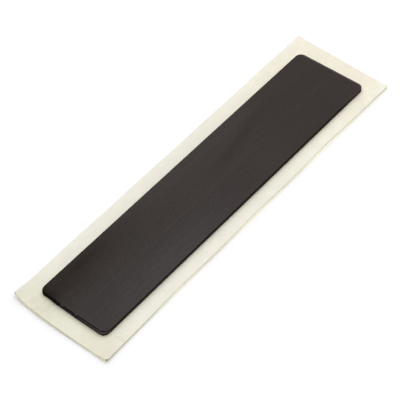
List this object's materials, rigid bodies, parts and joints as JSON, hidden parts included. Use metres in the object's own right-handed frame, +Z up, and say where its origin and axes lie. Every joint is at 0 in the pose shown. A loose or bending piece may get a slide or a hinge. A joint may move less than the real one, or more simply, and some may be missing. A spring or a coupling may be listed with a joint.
{
  "type": "kick plate",
  "caption": "Flat plastic protective plate with rounded corners and a full adhesive back, lying on its oversize paper release liner.",
  "frame": {"origin": "centre of the release liner's flat underside, on the surface that it lies on", "axes": "+X along the plate's length, +Y across it towards its left long side, +Z up out of the face"},
  "size_m": [0.337, 0.0926, 0.0038],
  "materials": {
    "plate_plastic": "satin dark brown",
    "adhesive": "clear tacky acrylic",
    "carrier_film": "matt film",
    "liner_paper": "cream siliconised paper"
  },
  "bodies": {
    "liner": {"release_liner": "liner_paper"},
    "plate": {"face_plate": "plate_plastic", "upper_adhesive": "adhesive", "tape_carrier": "carrier_film", "lower_adhesive": "adhesive"}
  },
  "joints": [
    {"name": "plate_lift", "type": "slide", "parent": "liner", "child": "plate", "axis": [0, 0, 1], "range_m": [0, 0.04]}
  ]
}
